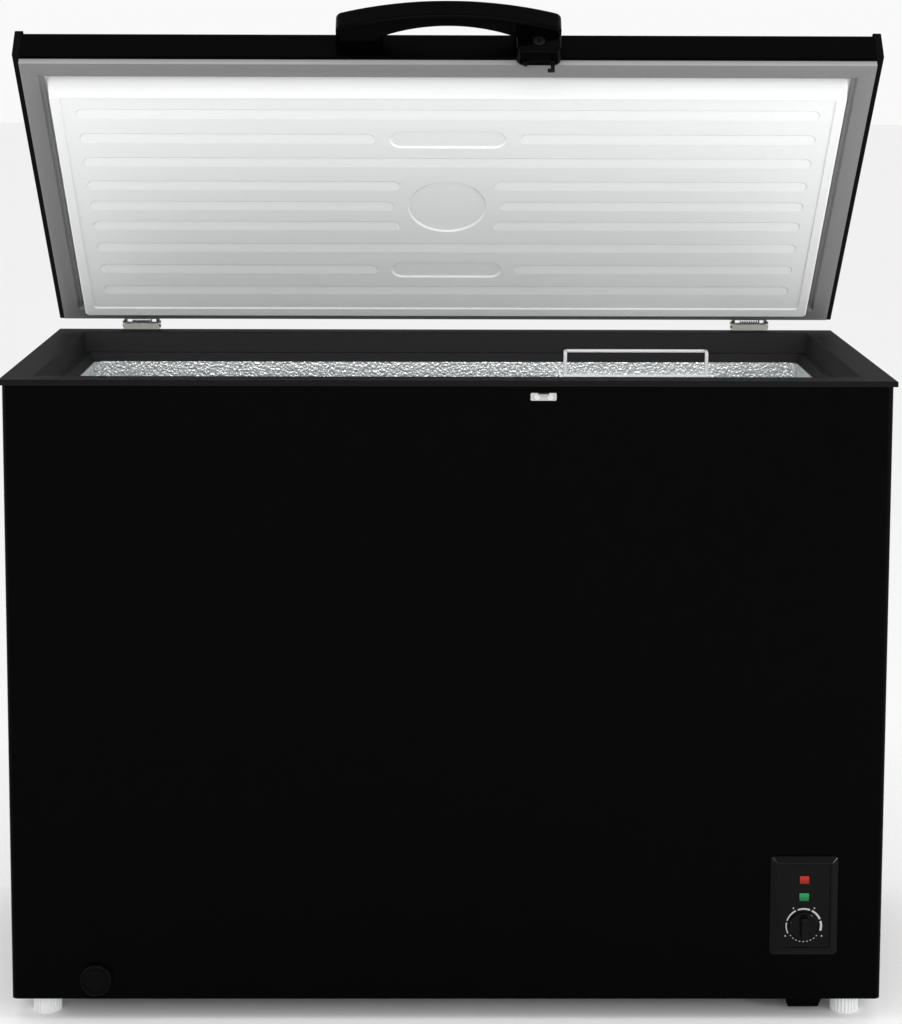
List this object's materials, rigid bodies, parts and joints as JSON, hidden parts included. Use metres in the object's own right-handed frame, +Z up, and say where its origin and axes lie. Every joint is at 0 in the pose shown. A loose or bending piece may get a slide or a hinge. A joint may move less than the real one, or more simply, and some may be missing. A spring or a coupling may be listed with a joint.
{
  "type": "chest freezer",
  "caption": "Chest freezer with a hinged insulated lid, bowed handle with lock, embossed aluminium cavity, sliding wire basket, thermostat panel, drain, compressor bay and levelling feet.",
  "frame": {"origin": "middle of the cabinet's footprint, on the floor", "axes": "+X to the right seen from the front, +Y to the rear, +Z up"},
  "size_m": [1.096, 0.5932, 1.2692],
  "materials": {
    "black_steel": "semi-gloss black paint on steel sheet",
    "bare_steel": "galvanised steel sheet",
    "collar_black": "satin black plastic",
    "liner_aluminium": "embossed aluminium sheet",
    "white_liner": "white formed plastic sheet",
    "foam": "cast insulating foam",
    "copper": "copper tube",
    "compressor_black": "black paint",
    "zinc": "zinc-plated steel",
    "dark_steel": "black finish on steel",
    "screws": "zinc-plated steel",
    "black_rubber": "black rubber",
    "grey_gasket": "soft grey vinyl",
    "black_plastic": "satin black plastic",
    "gloss_black": "gloss black plastic",
    "white_wire": "white plastic coat on steel wire",
    "foot_white": "light grey plastic",
    "pipe_white": "white plastic",
    "lamp_red": "clear red lens",
    "lamp_green": "clear green lens"
  },
  "bodies": {
    "cabinet": {"outer_wrap": "black_steel", "rear_panel": "black_steel", "condenser_tube": "copper", "evaporator_tube": "copper", "capillary_tube": "copper", "floor_panel": "black_steel", "inner_liner": "liner_aluminium", "drain_pipe": "pipe_white", "foot_sockets": "bare_steel", "foam_insulation": "foam", "collar": "collar_black", "compressor_tray": "black_steel", "compressor_shell": "compressor_black", "compressor_pump": "compressor_black", "compressor_grommets": "black_rubber", "compressor_bolts": "screws", "start_relay_box": "black_plastic", "filter_drier": "copper", "rear_grille": "black_plastic", "grille_screws": "screws", "cord_inlet": "black_rubber", "control_panel": "black_plastic", "red_lamp": "lamp_red", "green_lamp": "lamp_green", "thermostat_body": "pipe_white", "striker_plate": "zinc", "striker_screws": "screws", "badge_plate": "gloss_black", "hinge_bracket_left": "zinc", "hinge_bracket_right": "zinc", "hinge_pin_left": "screws", "hinge_pin_right": "screws", "hinge_screws": "screws", "hinge_spring_left": "screws", "hinge_spring_right": "screws"},
    "lid": {"lid_skin": "black_steel", "lid_trim_left": "black_plastic", "lid_trim_right": "black_plastic", "lid_liner": "white_liner", "lid_foam": "foam", "lid_gasket": "grey_gasket", "handle": "gloss_black", "handle_screws": "screws", "hinge_leaf_left": "zinc", "hinge_leaf_right": "zinc", "leaf_screws": "screws"},
    "lock": {"lock_cylinder": "dark_steel"},
    "latch": {"latch_hook": "dark_steel"},
    "knob": {"thermostat_knob": "black_plastic"},
    "cap": {"drain_cap": "black_plastic"},
    "plug": {"drain_plug": "grey_gasket"},
    "basket": {"basket": "white_wire"},
    "foot_front_left": {"foot_front_left": "foot_white"},
    "foot_front_right": {"foot_front_right": "foot_white"},
    "foot_rear_left": {"foot_rear_left": "foot_white"},
    "foot_rear_right": {"foot_rear_right": "foot_white"}
  },
  "joints": [
    {"name": "lid_hinge", "type": "hinge", "parent": "cabinet", "child": "lid", "pos_m": [0, 0.2815, 0.816], "axis": [-1, 0, 0], "range_deg": [-43.5, 44.5], "deforming": ["hinge_spring_left", "hinge_spring_right"]},
    {"name": "lock_turn", "type": "hinge", "parent": "lid", "child": "lock", "pos_m": [0.113, -0.11623, 1.2017], "axis": [0, 0.7254, -0.6884], "range_deg": [0, 90]},
    {"name": "latch_slide", "type": "slide", "parent": "lid", "child": "latch", "axis": [-1, 0, 0], "range_m": [0, 0.0045]},
    {"name": "thermostat_knob_turn", "type": "hinge", "parent": "cabinet", "child": "knob", "pos_m": [0.4455, -0.2723, 0.124], "axis": [0, 1, 0], "range_deg": [0, 270]},
    {"name": "drain_cap_pull", "type": "slide", "parent": "cabinet", "child": "cap", "axis": [0, -1, 0], "range_m": [0, 0.03]},
    {"name": "drain_plug_lift", "type": "slide", "parent": "cabinet", "child": "plug", "axis": [0, 0, 1], "range_m": [0, 0.05]},
    {"name": "basket_slide", "type": "slide", "parent": "cabinet", "child": "basket", "axis": [1, 0, 0], "range_m": [-0.64, 0.11]},
    {"name": "foot_front_left_turn", "type": "hinge", "parent": "cabinet", "child": "foot_front_left", "pos_m": [-0.505, -0.2275, 0.01], "axis": [0, 0, 1], "continuous": true},
    {"name": "foot_front_right_turn", "type": "hinge", "parent": "cabinet", "child": "foot_front_right", "pos_m": [0.505, -0.2275, 0.01], "axis": [0, 0, 1], "continuous": true},
    {"name": "foot_rear_left_turn", "type": "hinge", "parent": "cabinet", "child": "foot_rear_left", "pos_m": [-0.505, 0.2275, 0.01], "axis": [0, 0, 1], "continuous": true},
    {"name": "foot_rear_right_turn", "type": "hinge", "parent": "cabinet", "child": "foot_rear_right", "pos_m": [0.505, 0.2275, 0.01], "axis": [0, 0, 1], "continuous": true}
  ],
  "couplings": [
    {"joint": "lock_turn", "follows": "latch_slide", "rad_per_m": 349.06}
  ]
}
